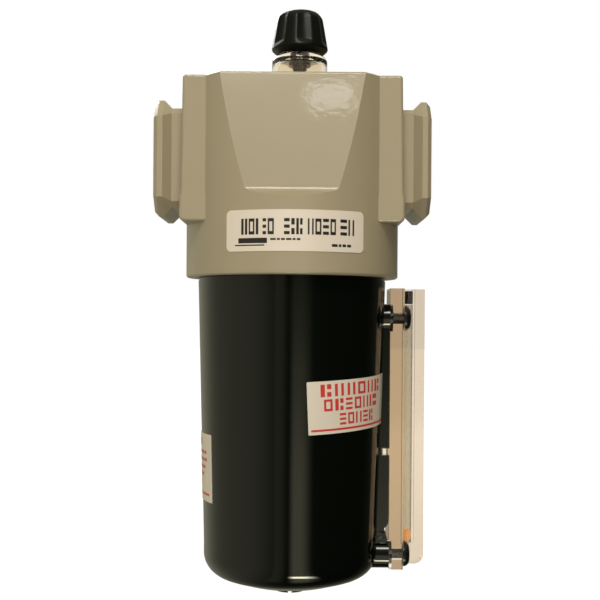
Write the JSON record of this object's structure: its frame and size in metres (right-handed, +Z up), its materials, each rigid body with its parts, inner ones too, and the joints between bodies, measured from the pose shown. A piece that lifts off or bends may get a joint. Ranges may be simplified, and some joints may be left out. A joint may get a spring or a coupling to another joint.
{
  "type": "air line lubricator",
  "caption": "Compressed-air line lubricator with a painted die-cast head, clear drip dome under a fluted knob, black metal bowl and an external sight gauge with a float.",
  "frame": {"origin": "centre of the inlet port's face", "axes": "+X along the line to the outlet port, +Z up towards the knob, -Y is the front with the label"},
  "size_m": [0.0897, 0.0708, 0.1935],
  "materials": {
    "head_paint": "satin",
    "bowl_enamel": "gloss",
    "clear_plastic": "gloss",
    "knob_plastic": "satin",
    "label_film": "satin",
    "black_screw": "satin",
    "orange_plastic": "gloss",
    "rubber": "matte",
    "brass": "satin",
    "steel": "satin",
    "nylon": "matte",
    "sinter_bronze": "matte"
  },
  "bodies": {
    "head_body": {"head": "head_paint", "head_label": "label_film", "sight_dome": "clear_plastic", "dome_seal": "rubber", "riser_tube": "brass", "drip_nozzle": "brass", "vane_carrier": "nylon", "vane_pin": "steel", "siphon_adapter": "brass", "siphon_tube": "nylon", "pickup_filter": "sinter_bronze"},
    "needle_seal_body": {"needle_seal": "rubber"},
    "knob_body": {"knob": "knob_plastic", "metering_needle": "brass"},
    "vane_body": {"bypass_vane": "steel"},
    "check_ball_body": {"check_ball": "steel"},
    "fill_seal_body": {"fill_seal": "rubber"},
    "fill_plug_body": {"fill_plug": "steel"},
    "bowl_seal_body": {"bowl_seal": "rubber"},
    "bowl_body": {"bowl": "bowl_enamel", "level_label": "label_film", "side_label": "label_film", "sight_gauge": "clear_plastic", "gauge_screws": "black_screw", "gauge_seals": "rubber", "gauge_plug": "knob_plastic"},
    "float_body": {"float_ball": "orange_plastic"},
    "drain_seal_body": {"drain_seal": "rubber"},
    "drain_plug_body": {"drain_plug": "brass"}
  },
  "joints": [
    {"name": "needle_lift", "type": "slide", "parent": "head_body", "child": "needle_seal_body", "axis": [0, 0, 1], "range_m": [0, 0.0007]},
    {"name": "knob_turn", "type": "hinge", "parent": "needle_seal_body", "child": "knob_body", "pos_m": [0.0466, 0, 0.0448], "axis": [0, 0, 1], "range_deg": [0, 360]},
    {"name": "vane_swing", "type": "hinge", "parent": "head_body", "child": "vane_body", "pos_m": [0.0445, 0, 0.0076], "axis": [0, -1, 0], "range_deg": [0, 55], "stiffness_Nm_per_rad": 0.0005, "springref_deg": -5.73},
    {"name": "check_ball_lift", "type": "slide", "parent": "head_body", "child": "check_ball_body", "axis": [0, 0, 1], "range_m": [0, 0.0012]},
    {"name": "fill_plug_lift", "type": "slide", "parent": "head_body", "child": "fill_seal_body", "axis": [0, 0, 1], "range_m": [0, 0.005]},
    {"name": "fill_plug_turn", "type": "hinge", "parent": "fill_seal_body", "child": "fill_plug_body", "pos_m": [0.0445, 0.017, 0.0225], "axis": [0, 0, 1], "range_deg": [0, 1440]},
    {"name": "bowl_drop", "type": "slide", "parent": "head_body", "child": "bowl_seal_body", "axis": [0, 0, -1], "range_m": [0, 0.012]},
    {"name": "bowl_turn", "type": "hinge", "parent": "bowl_seal_body", "child": "bowl_body", "pos_m": [0.0445, 0, -0.08], "axis": [0, 0, -1], "range_deg": [0, 2160]},
    {"name": "float_rise", "type": "slide", "parent": "bowl_body", "child": "float_body", "axis": [0, 0, 1], "range_m": [0, 0.076]},
    {"name": "drain_drop", "type": "slide", "parent": "bowl_body", "child": "drain_seal_body", "axis": [0, 0, -1], "range_m": [0, 0.004]},
    {"name": "drain_turn", "type": "hinge", "parent": "drain_seal_body", "child": "drain_plug_body", "pos_m": [0.0445, 0, -0.1415], "axis": [0, 0, -1], "range_deg": [0, 1440]}
  ],
  "couplings": [
    {"joint": "needle_lift", "follows": "knob_turn", "m_per_rad": 0.00011141},
    {"joint": "fill_plug_lift", "follows": "fill_plug_turn", "m_per_rad": 0.00019894},
    {"joint": "bowl_drop", "follows": "bowl_turn", "m_per_rad": 0.00031831},
    {"joint": "drain_drop", "follows": "drain_turn", "m_per_rad": 0.00015915}
  ]
}
